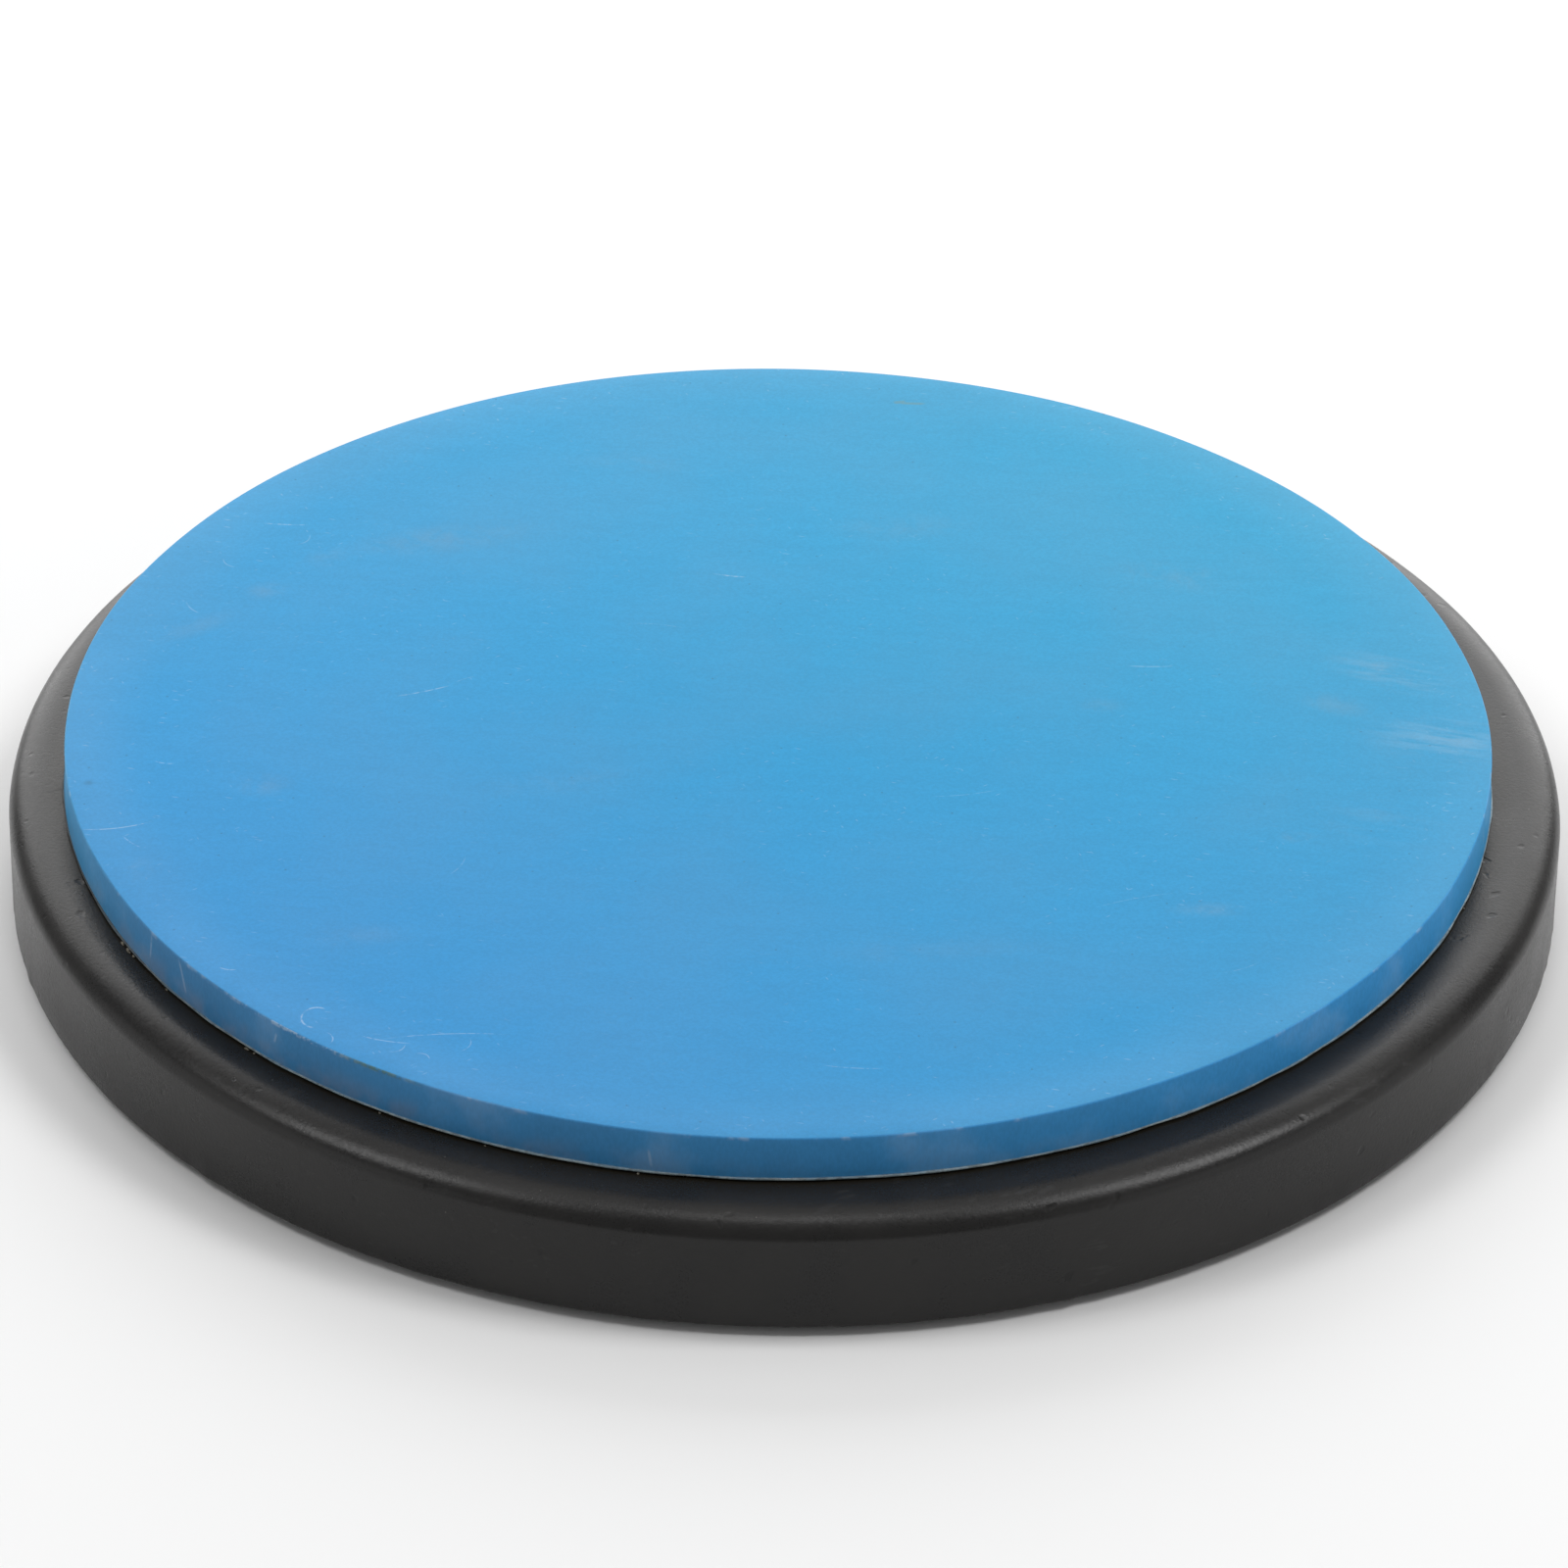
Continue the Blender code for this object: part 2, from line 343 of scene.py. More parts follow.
    def ticks(self, length, width, gap, share, degrees, seed):
        """Scattered short marks, all turned one way, about gap of their own sizes apart."""
        stretched = self.local(seed, -0.7 * seed, length, width, degrees)
        made = self.cells(gap, stretched, flat=True)
        near = self.remap(made.outputs["Distance"], 0.15 / gap, 0.5 / gap, 1.0, 0.0)
        return self.times(near, self.chosen(made, share))

    def most(self, masks):
        """The strongest of several masks."""
        masks = list(masks)
        best = masks[0]
        for mask in masks[1:]:
            best = self.math("MAXIMUM", best, mask)
        return best

    def shade(self, colour, value, amount):
        """The colour made darker and lighter by the amount, as value goes from 0.3 to 0.7."""
        factor = self.remap(value, 0.3, 0.7, 1.0 - amount, 1.0 + amount)
        return self.mix(1.0, colour, factor, "MULTIPLY")

    def times(self, *values):
        """The product of two or more values."""
        product = values[0]
        for value in values[1:]:
            product = self.math("MULTIPLY", product, value)
        return product

    def distance_from_axis(self):
        x, y, _ = self.coordinates()
        return self.math("SQRT", self.math("ADD", self.times(x, x), self.times(y, y)))

    def azimuth_gap(self, degrees):
        """How far round the rim a point lies from this azimuth, in radians, with its sign."""
        turned_by = self.node("ShaderNodeMapping", vector_type="TEXTURE")
        self.feed(turned_by.inputs["Vector"], self.point)
        turned_by.inputs["Rotation"].default_value = (0.0, 0.0, math.radians(degrees))
        x, y, _ = self.coordinates(turned_by.outputs["Vector"])
        return self.math("ARCTAN2", y, x)

    def rim_mark(self, degrees, width, low, high, slant=0.0):
        """An upright scratch on a round side, width in radians, from height low to high."""
        z = self.coordinates()[2]
        place = self.math("MULTIPLY_ADD", self.math("SUBTRACT", z, low), slant, self.azimuth_gap(degrees))
        line = self.remap(self.math("ABSOLUTE", place), width * 0.3, width, 1.0, 0.0)
        fade = (high - low) * 0.25
        ends = self.times(self.remap(z, low, low + fade), self.remap(z, high - fade, high, 1.0, 0.0))
        return self.times(line, ends)

    def rim_zone(self, degrees, reach):
        """A soft zone on both sides of an azimuth, reach in degrees."""
        away = self.math("ABSOLUTE", self.azimuth_gap(degrees))
        return self.remap(away, 0.0, math.radians(reach), 1.0, 0.0)

    def coordinates(self, point=None):
        made = self.node("ShaderNodeSeparateXYZ")
        self.feed(made.inputs[0], point or self.point)
        return made.outputs

    def bump(self, height, distance, strength, normal=None):
        made = self.node("ShaderNodeBump")
        made.inputs["Strength"].default_value = strength
        made.inputs["Distance"].default_value = distance
        self.feed(made.inputs["Height"], height)
        if normal is not None:
            self.feed(made.inputs["Normal"], normal)
        return made.outputs["Normal"]

    def finish(self, colour, roughness, normal=None, **fixed):
        self.feed(self.shader.inputs["Base Color"], colour)
        self.feed(self.shader.inputs["Roughness"], roughness)
        if normal is not None:
            self.feed(self.shader.inputs["Normal"], normal)
        for key, value in fixed.items():
            self.shader.inputs[key.replace("_", " ")].default_value = value
        return self.material


# Hairlines on the rubber's face: x, y, length, width and bow in mm, heading in degrees, strength.
SCRATCHES = (
    (-57.5, 8.4, 10, 0.36, 0.3, 22, 0.40), (-51, 12.5, 4, 0.34, -0.3, 30, 0.16),
    (-104, -33, 12, 0.32, 0.9, 13, 0.48), (-101.5, -37, 5, 0.30, 0.3, -46, 0.30),
    (-50, -88.5, 20, 0.34, -0.8, 5, 0.29), (-59, -90.5, 9, 0.30, 0.5, -14, 0.36),
    (-56.5, -93, 3.5, 0.30, 1.0, 38, 0.36), (-52.5, -94, 3, 0.30, -0.9, -38, 0.32),
    (-66.8, -90, 3.6, 0.30, 0.9, 98, 0.42), (-46, -91.5, 4, 0.30, 0.8, 70, 0.26),
    (-8.5, 45.5, 6, 0.45, 0.2, -10, 0.50), (-83, 60, 8, 0.38, 0.2, -3, 0.45),
    (-79, 55, 4, 0.32, 0.9, 62, 0.22), (-92, 47, 4, 0.32, 0.8, -48, 0.24),
    (60.5, 19, 8, 0.38, 0.2, 1, 0.32), (-49.5, -42.5, 6, 0.34, 0.5, 66, 0.16),
    (56, -49, 15, 0.34, -0.6, 19, 0.12), (30, -20, 12, 0.30, 0.6, 12, 0.16),
    (-97, 33, 5, 0.36, 0.6, -55, 0.24), (-98, -14, 4, 0.32, 0.5, -12, 0.40),
    (-84, -72, 3, 0.32, 0.4, -12, 0.40), (-20, 30, 9, 0.34, -0.5, -8, 0.18),
    (72, -68, 7, 0.32, 0.5, 28, 0.14), (12, -96, 10, 0.34, 0.4, -4, 0.25),
)
# Where dust was smeared into the rubber: x, y, length, width in mm, heading in degrees, strength.
SMEARS = (
    (-57, 56, 44, 12, 14, 0.75), (-85, 39, 10, 7, 20, 0.80), (-82, -20, 13, 9, 0, 0.75),
    (-76, 50, 14, 9, 30, 0.55), (-96, 27, 20, 7, 40, 0.60), (90, 8, 18, 9, -20, 0.75),
    (66, 47, 30, 12, -14, 0.60), (67, -52, 15, 6, 2, 0.85), (99, 19, 13, 5, -34, 0.90),
    (82, -31, 9, 5, 0, 0.60), (20, 62, 34, 12, 5, 0.45), (-35, -18, 36, 10, 12, 0.35),
    (52, 7, 11, 6, 0, 0.50), (-100, -45, 12, 8, 50, 0.45), (-64, -62, 26, 8, 6, 0.40),
    (24, -64, 50, 9, 4, 0.30), (-25, 82, 30, 9, -4, 0.40),
)


# Upright scratches on the cut side: azimuth in degrees, width in radians, ends in mm from its middle, slant.
UPRIGHTS = (
    (-147.5, 0.0030, -2.0, 3.3, -1.0), (-142.0, 0.0036, -2.6, 3.4, 3.4), (-131.5, 0.0028, -0.4, 1.8, -2.0),
    (-99.0, 0.0026, -3.0, 0.4, 1.5), (-12.0, 0.0028, -2.2, 1.8, 1.0), (58.0, 0.0028, -1.2, 2.8, -2.0),
    (136.0, 0.0032, -2.8, 1.4, 2.0),
)


def rubber_face():
    """The dense sky-blue rubber's face: faintly mottled, dusted towards the rim, and scuffed."""
    g = Graph("pad_rubber")
    x, y, _ = g.coordinates()
    reach = PAD_TOP_RADIUS
    radius = g.distance_from_axis()
    # Painted light: the face's blue goes lighter from front to back and changes from left to right.
    across = g.remap(x, -reach, reach)
    near, far = g.mix(across, NEAR_LEFT, NEAR_RIGHT), g.mix(across, FAR_LEFT, FAR_RIGHT)
    base = g.mix(g.remap(y, -reach, reach), near, far)

    # Slow clouds, short streaks left by the calender, and the rubber's own grain.
    cloud = g.noise(0.042, 3.0, 0.55)
    base = g.shade(base, cloud, 0.035)
    streaks = g.noise(0.0022, 2.0, 0.6, point=g.stretched(4.0, 1.0, 1.0, -5.0))
    base = g.shade(base, streaks, 0.018)
    grain = g.noise(0.00055, 3.0, 0.7)
    base = g.shade(base, grain, 0.055)

    # The face's blue is made deeper towards the middle.
    deeper_middle = g.remap(radius, reach * 0.8, 0.0)
    base = g.mix(deeper_middle, base, g.mix(1.0, base, (0.55, 0.98, 0.98), "MULTIPLY"))

    # Warm dust smears, broken up by noise.
    smears = g.most(
        g.times(g.patch(a * MM, b * MM, length * MM, width * MM, turn), power)
        for a, b, length, width, turn, power in SMEARS
    )
    smear = g.times(smears, g.remap(g.noise(0.006, 3.0, 0.65, 0.4), 0.32, 0.60))
    base = g.mix(g.times(smear, 0.17), base, DUST_WARM)

    # Pale rubbed streaks that run in from the right edge, and a haze near the rim.
    rays = g.noise(0.0021, 3.0, 0.62, point=g.stretched(5.5, 1.0, 1.0, -14.0))
    right = g.most((
        g.patch(108 * MM, -2 * MM, 36 * MM, 20 * MM, -12), g.patch(100 * MM, 18 * MM, 28 * MM, 13 * MM, -25),
        g.times(g.patch(96 * MM, -26 * MM, 30 * MM, 22 * MM, -10), 0.25),
    ))
    rays = g.times(g.remap(rays, 0.40, 0.70), right)
    base = g.mix(g.times(rays, 0.17), base, DUST_PALE)
    haze = g.times(g.remap(radius, reach * 0.86, reach), g.remap(cloud, 0.35, 0.60, 0.3, 1.0))
    base = g.mix(g.times(haze, 0.06), base, DUST_PALE)

    # Hairlines, tiny ticks in three directions, and a curl pressed in by a thread of lint.
    broken = g.remap(g.noise(0.0010, 2.0, 0.6), 0.38, 0.56, 0.15, 1.0)
    lines = g.most(
        g.times(g.stroke(a * MM, b * MM, length * MM, width * MM, turn, bow * MM), power)
        for a, b, length, width, bow, turn, power in SCRATCHES
    )
    worn = g.math("ADD", g.remap(cloud, 0.45, 0.62, 0.2, 1.0), g.remap(radius, reach * 0.8, reach, 0.0, 0.6))
    ticks = g.most((
        g.ticks(1.7 * MM, 0.34 * MM, 5.0, 0.22, -14.0, 0.31),
        g.ticks(1.3 * MM, 0.32 * MM, 6.0, 0.22, 38.0, 0.17),
        g.ticks(1.0 * MM, 0.36 * MM, 6.0, 0.20, -62.0, 0.53),
    ))
    ticks = g.times(ticks, worn, 0.20)
    curl = g.node("ShaderNodeVectorMath", operation="LENGTH")
    g.feed(curl.inputs[0], g.local(-69.6 * MM, -84.6 * MM, 2.3 * MM, 2.7 * MM, 0))
    ring = g.remap(g.math("ABSOLUTE", g.math("SUBTRACT", curl.outputs["Value"], 1.0)), 0.02, 0.09, 1.0, 0.0)
    open_side = g.remap(g.math("ADD", x, g.times(y, -0.25)), -48.6 * MM, -47.6 * MM, 1.0, 0.0)
    curl = g.times(ring, open_side, 0.50)
    pale = g.times(g.most((lines, ticks, curl)), broken)
    base = g.mix(g.times(pale, 0.72), base, SCUFF_PALE)

    # Dark grit, one soft stain at the left, and a brown-green mark at the far edge.
    grit = g.times(g.specks(5.5 * MM, 0.24 * MM, 0.10, True), 0.35)
    stain = g.times(g.patch(-109.5 * MM, -20 * MM, 2.4 * MM, 2.2 * MM), 0.30)
    base = g.mix(g.most((grit, stain)), base, GRIT_DARK)
    mark = g.most((g.stroke(22 * MM, 103 * MM, 5.5 * MM, 1.0 * MM, -3, 0.2 * MM),
                   g.stroke(20 * MM, 103.4 * MM, 2.5 * MM, 1.2 * MM, 12)))
    base = g.mix(g.times(mark, 0.5), base, (0.14, 0.24, 0.20))

    rough = g.remap(cloud, 0.3, 0.7, 0.56, 0.66)
    rough = g.math("MULTIPLY_ADD", smear, 0.10, rough)
    rough = g.math("MULTIPLY_ADD", pale, -0.12, rough)
    skin = g.bump(grain, 0.015 * MM, 0.6)
    skin = g.bump(streaks, 0.02 * MM, 0.4, skin)
    return g.finish(base, rough, skin, IOR=1.30)


def rubber_side():
    """The rubber's cut side and its arris: cloudy, browner towards the front left foot, scratched."""
    g = Graph("pad_rubber_cut_side")
    z = g.coordinates()[2]
    # Painted light: the side's blue is lighter towards the right and the back than at the front left.
    round_from_front = g.azimuth_gap(-90.0)
    base = g.mix(g.remap(round_from_front, -1.3, 1.3), SIDE_LEFT, SIDE_RIGHT)
    base = g.mix(g.remap(g.math("ABSOLUTE", round_from_front), 0.9, 1.7), base, SIDE_FAR)
    cloud = g.noise(0.013, 3.0, 0.5)
    base = g.shade(base, cloud, 0.06)
    grain = g.noise(0.0005, 2.0, 0.6, point=g.stretched(1.0, 1.0, 2.2))
    base = g.shade(base, grain, 0.05)

    # The arris: rubbed pale in places, bruised at the far right, and dirty at the front left.
    edge = g.remap(z, PAD_TOP - 0.75 * MM, PAD_TOP - 0.30 * MM)
    patchy = g.noise(0.0014, 3.0, 0.6)
    rubbed = g.times(g.remap(g.noise(0.005, 3.0, 0.7), 0.56, 0.70), 0.22)
    bruised = g.times(g.rim_zone(32.0, 9.0), g.remap(patchy, 0.45, 0.6), 0.5)
    base = g.mix(g.times(edge, g.most((rubbed, bruised))), base, SCUFF_PALE)
    scraped = g.times(edge, g.rim_zone(-129.0, 12.0), g.remap(patchy, 0.42, 0.55))
    base = g.mix(g.times(scraped, 0.40), base, SCUFF_PALE)
    dirty = g.times(edge, g.rim_zone(-121.5, 5.0), g.remap(patchy, 0.35, 0.50))
    base = g.mix(g.times(dirty, 0.75), base, (0.07, 0.15, 0.10))

    low = g.remap(z, 1.5 * MM, -3.3 * MM)
    brown = g.times(g.remap(g.noise(0.011, 3.0, 0.6), 0.42, 0.62), g.rim_zone(-135.0, 62.0))
    base = g.mix(g.times(brown, low, 0.26), base, (0.30, 0.25, 0.22))
    base = g.mix(g.remap(cloud, 0.5, 0.7, 0.0, 0.10), base, DUST_PALE)
    uprights = g.most(
        g.rim_mark(azimuth, width, low_end * MM, high_end * MM, slant)
        for azimuth, width, low_end, high_end, slant in UPRIGHTS
    )
    base = g.mix(g.times(uprights, g.remap(patchy, 0.3, 0.5, 0.4, 1.0), 0.24), base, SCUFF_PALE)

    # The squeezed-out bonding film leaves a thin pale line along the foot, with a painted highlight that
    # keeps it to the front and right, where that edge catches the light.
    foot = g.times(g.remap(z, PAD_FOOT + 0.20 * MM, PAD_FOOT + 0.06 * MM), g.rim_zone(-62.0, 100.0))
    base = g.mix(g.times(foot, g.remap(patchy, 0.35, 0.6, 0.15, 0.60)), base, FILM_PALE)
    rough = g.remap(cloud, 0.3, 0.7, 0.54, 0.66)
    skin = g.bump(grain, 0.02 * MM, 0.6)
    skin = g.bump(cloud, 0.20 * MM, 0.3, skin)
    return g.finish(base, rough, skin, IOR=1.30)


def plastic_black():
    """Semi-matte black moulded plastic: fine spark grain, small dents, dust and pale scuffs."""
    g = Graph("shell_plastic")
    z = g.coordinates()[2]
    grain = g.noise(0.00060, 3.0, 0.65)
    cloud = g.noise(0.018, 4.0, 0.55)
    colour = g.mix(g.remap(cloud, 0.3, 0.7), (0.0145, 0.0142, 0.0140), (0.0190, 0.0182, 0.0174))

    # A film of dust lies on the ledge, in patches.
    flat = g.remap(z, LEDGE_Z - 1.2 * MM, LEDGE_Z - 0.1 * MM)
    settled = g.times(flat, g.remap(g.noise(0.007, 4.0, 0.6), 0.35, 0.65, 0.3, 1.0))
    colour = g.mix(g.times(settled, 0.010), colour, (0.38, 0.35, 0.31))

    # Painted shade: the ledge is made darker and warmer in the corner at the rubber's foot, which also tones
    # down the rubber's blue reflection there.
    from_pad = g.node("ShaderNodeVectorMath", operation="LENGTH")
    g.feed(from_pad.inputs[0], g.local(PAD_CENTRE.x, PAD_CENTRE.y, 1.0, 1.0, 0.0))
    corner = g.remap(from_pad.outputs["Value"], PAD_FOOT_RADIUS + 6.5 * MM, PAD_FOOT_RADIUS + 2.0 * MM)
    colour = g.mix(corner, colour, (0.0128, 0.0105, 0.0070))

    # Pits and small dents, with painted shade in them.
    pits = g.specks(7.0 * MM, 0.45 * MM, 0.16)
    dents = g.remap(g.noise(0.0032, 1.0, 0.4), 0.70, 0.80)
    colour = g.mix(g.times(g.most((pits, dents)), 0.40), colour, (0.004, 0.004, 0.004))

    # Dust specks, denser at the front left of the ledge, and short pale scuffs.
    specks = g.specks(3.6 * MM, 0.13 * MM, 0.18)
    extra = g.times(g.specks(1.8 * MM, 0.13 * MM, 0.30), g.rim_zone(-122.0, 34.0))
    extra = g.times(extra, g.remap(z, LEDGE_Z - 2.5 * MM, LEDGE_Z - 1.0 * MM))
    colour = g.mix(g.times(g.most((specks, extra)), 0.30), colour, (0.34, 0.33, 0.31))
    lines = g.noise(0.0009, 2.0, 0.5, 0.3, point=g.stretched(5.0, 1.2, 1.0, 24.0))
    rubbed = g.times(g.remap(lines, 0.60, 0.70), g.remap(g.noise(0.02, 2.0), 0.5, 0.66))
    colour = g.mix(g.times(rubbed, 0.03), colour, (0.30, 0.30, 0.30))
    low_wear = g.times(g.remap(z, SHELL_EDGE_Z + 0.9 * MM, SHELL_EDGE_Z + 0.1 * MM),
                      g.remap(g.noise(0.005, 3.0, 0.7), 0.45, 0.65))
    colour = g.mix(g.times(low_wear, 0.06), colour, (0.25, 0.25, 0.24))

    rough = g.remap(cloud, 0.3, 0.7, 0.27, 0.35)
    rough = g.math("ADD", rough, g.times(rubbed, 0.12))
    rough = g.math("ADD", rough, g.remap(grain, 0.35, 0.65, -0.03, 0.03))
    skin = g.bump(grain, 0.045 * MM, 0.8)
    skin = g.bump(g.noise(0.004, 2.0, 0.5), 0.03 * MM, 0.35, skin)
    skin = g.bump(g.math("SUBTRACT", 1.0, g.most((pits, dents))), 0.10 * MM, 0.6, skin)
    return g.finish(colour, rough, skin, IOR=1.34)


def film_pale():
    """Bonding film: pale grey-green, patchy and stained, with painted shade that makes it nearly black away
    from the front right.
    """
    g = Graph("bond_film")
    cloud = g.noise(0.006, 3.0, 0.6)
    colour = g.mix(g.remap(cloud, 0.3, 0.7), (0.20, 0.31, 0.38), (0.36, 0.43, 0.44))
    stained = g.remap(g.noise(0.0016, 3.0, 0.7), 0.42, 0.64, 0.0, 0.50)
    colour = g.mix(stained, colour, (0.07, 0.08, 0.08))
    # Painted shade: away from the front right the film is made nearly black.
    away = g.math("ABSOLUTE", g.azimuth_gap(-62.0))
    colour = g.mix(g.remap(away, 1.0, 1.8, 0.0, 0.92), colour, (0.022, 0.024, 0.024))
    grain = g.noise(0.0003, 2.0)
    return g.finish(colour, g.remap(cloud, 0.3, 0.7, 0.5, 0.7), g.bump(grain, 0.02 * MM, 0.5))


def glue_crumb():
    """Hardened glue: cream to brown, slightly glossy."""
    g = Graph("glue_crumb")
    tone = g.noise(0.0006, 3.0, 0.6)
    colour = g.mix(g.remap(tone, 0.35, 0.65), (0.09, 0.077, 0.055), (0.29, 0.265, 0.21))
    return g.finish(colour, g.remap(tone, 0.3, 0.7, 0.35, 0.6), g.bump(tone, 0.05 * MM, 0.6))


def board_brown():
    """Raw pressed-fibre board."""
    g = Graph("core_wood")
    fibre = g.noise(0.0007, 4.0, 0.7, 0.8, point=g.stretched(3.0, 1.0, 1.0, 20.0))
    chips = g.noise(0.004, 4.0, 0.6)
    colour = g.mix(g.remap(chips, 0.3, 0.7), (0.30, 0.19, 0.10), (0.47, 0.33, 0.19))
    colour = g.shade(colour, fibre, 0.22)
    return g.finish(colour, g.remap(fibre, 0.3, 0.7, 0.78, 0.92), g.bump(fibre, 0.10 * MM, 0.7))


def plate_black():
    """Matte black moulded plate with a leathery spark texture, and dust in its hollows."""
    g = Graph("plate_plastic")
    texture = g.noise(0.0009, 3.0, 0.55)
    cloud = g.noise(0.025, 4.0, 0.55)
    colour = g.mix(g.remap(cloud, 0.3, 0.7), (0.021, 0.021, 0.0215), (0.033, 0.0325, 0.032))
    hollow = g.times(g.remap(texture, 0.5, 0.35), g.remap(cloud, 0.42, 0.62))
    colour = g.mix(g.times(hollow, 0.10), colour, (0.30, 0.28, 0.25))
    scuffs = g.most((
        g.ticks(5.0 * MM, 0.35 * MM, 6.0, 0.25, 25.0, 0.2),
        g.ticks(3.0 * MM, 0.3 * MM, 7.0, 0.3, -50.0, 0.4),
    ))
    colour = g.mix(g.times(scuffs, 0.12), colour, (0.30, 0.30, 0.30))
    rough = g.remap(cloud, 0.3, 0.7, 0.46, 0.58)
    return g.finish(colour, rough, g.bump(texture, 0.06 * MM, 0.7), IOR=1.45)


def foot_black():
    """Matte black moulded rubber, greyed and grained where it treads."""
    g = Graph("foot_rubber")
    z = g.coordinates()[2]
    grain = g.noise(0.0004, 3.0, 0.6)
    cloud = g.noise(0.004, 3.0, 0.6)
    colour = g.mix(g.remap(cloud, 0.3, 0.7), (0.014, 0.014, 0.014), (0.022, 0.0215, 0.021))
    tread = g.times(g.remap(z, 0.9 * MM, 0.05 * MM), g.remap(g.noise(0.0012, 4.0, 0.7), 0.4, 0.62))
    colour = g.mix(g.times(tread, 0.28), colour, (0.22, 0.20, 0.18))
    rough = g.remap(cloud, 0.3, 0.7, 0.68, 0.84)
    return g.finish(colour, rough, g.bump(grain, 0.05 * MM, 0.7), IOR=1.45)


def steel_zinc():
    """Zinc-plated steel: cool grey, slightly mottled, with painted shade in the cross recess."""
    g = Graph("screw_steel")
    z = g.coordinates()[2]
    cloud = g.noise(0.0011, 3.0, 0.6)
    colour = g.mix(g.remap(cloud, 0.3, 0.7), (0.50, 0.51, 0.53), (0.63, 0.63, 0.62))
    tarnish = g.times(g.remap(g.noise(0.0007, 3.0, 0.7), 0.5, 0.7), 0.45)
    colour = g.mix(tarnish, colour, (0.34, 0.31, 0.25))
    # Painted shade in the cross recess: of what shows, only the recess is both near the axis and deeper than
    # the crown.
    recess = g.remap(g.distance_from_axis(), 2.15 * MM, 1.9 * MM)
    recess_shade = g.times(g.remap(z, 0.2 * MM, 0.9 * MM), recess, 0.6)
    colour = g.mix(recess_shade, colour, (0.16, 0.15, 0.14))
    rough = g.remap(cloud, 0.3, 0.7, 0.26, 0.42)
    return g.finish(colour, rough, g.bump(g.noise(0.0002, 2.0), 0.01 * MM, 0.5), Metallic=1.0)


# ---------------------------------------------------------------- pieces


def wander(angle, seed, waves):
    """A smooth closed wave round the rim, from about -1 to 1."""
    spot = Vector((math.cos(angle) * waves / 2, math.sin(angle) * waves / 2, seed))
    return 2.0 * noise.noise(spot)


# Nicks and flash on the shell's lower edge: azimuth and half width in degrees, height in mm.
NICKS = (
    (-134.6, 0.45, 0.22), (-136.2, 0.8, -0.16), (-69.6, 0.45, 0.24), (-68.4, 0.7, -0.12),
    (-163.0, 0.8, 0.12), (48.0, 0.6, 0.15),
)


def make_shell(material):
    """The base: ledge, rounded shoulder, side, rounded lower edge, the plate's seat, and the bosses."""
    top = [(0.0, LEDGE_Z)]
    top += [(SHELL_RADIUS * share, LEDGE_Z) for share in (0.15, 0.3, 0.45, 0.6, 0.75, 0.85, 0.9)]
    steps = 24
    shoulder = []
    for step in range(steps + 1):
        angle = math.pi / 2 * step / steps
        radius = SHELL_RADIUS - SHOULDER_WIDTH * (1.0 - math.sin(angle))
        shoulder.append((radius, LEDGE_Z - SHOULDER_DROP * (1.0 - math.cos(angle))))
    edge = 0.5 * MM
    side_top = LEDGE_Z - SHOULDER_DROP
    side = [(SHELL_RADIUS, side_top + (SHELL_EDGE_Z + edge - side_top) * share / 6) for share in range(1, 6)]
    lip = list(arc((SHELL_RADIUS - edge, SHELL_EDGE_Z + edge), edge, 0, -90, 5))
    recess = SHELL_RADIUS - SHELL_WALL
    inner = list(arc((recess + edge, SHELL_EDGE_Z + edge), edge, -90, -180, 5))
    seat = recess - SEAT_WIDTH
    inside = [(recess, SEAT_Z), (seat, SEAT_Z), (seat, CEILING_Z), (0.0, CEILING_Z)]
    profile = top + shoulder + side + lip + inner + inside

    def moulded(angle, radius, height):
        """A trace of waviness in the shoulder, and flash and nicks on the lower edge."""
        if radius > SHELL_RADIUS - 1.1 * MM and height < SHELL_EDGE_Z + 0.9 * MM:
            nick = 0.0
            for azimuth, spread, depth in NICKS:
                gap = (math.degrees(angle) - azimuth + 180.0) % 360.0 - 180.0
                nick += depth * MM * math.exp(-((gap / spread) ** 2))
            flash = 0.05 * MM * wander(angle, 21.0, 90)
            return radius + nick + flash, height
        if radius > SHELL_RADIUS - SHOULDER_WIDTH and height > SHELL_EDGE_Z + 2.0 * MM:
            return radius + 0.03 * MM * wander(angle, 5.0, 16), height
        return radius, height

    mesh = turned("base_moulding", profile, SHELL_STEPS, shift=moulded)
    shell = piece("base_moulding", mesh, material)
    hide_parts("base_shell")
    cut(shell, pins("boss_blank", BOSS_RADIUS, SEAT_Z, CEILING_Z + 1.0 * MM), "UNION")
    cut(shell, pins("pilot_blank", PILOT_RADIUS, SEAT_Z - 1.0 * MM, screw_high.z + 0.5 * MM))
    return shell


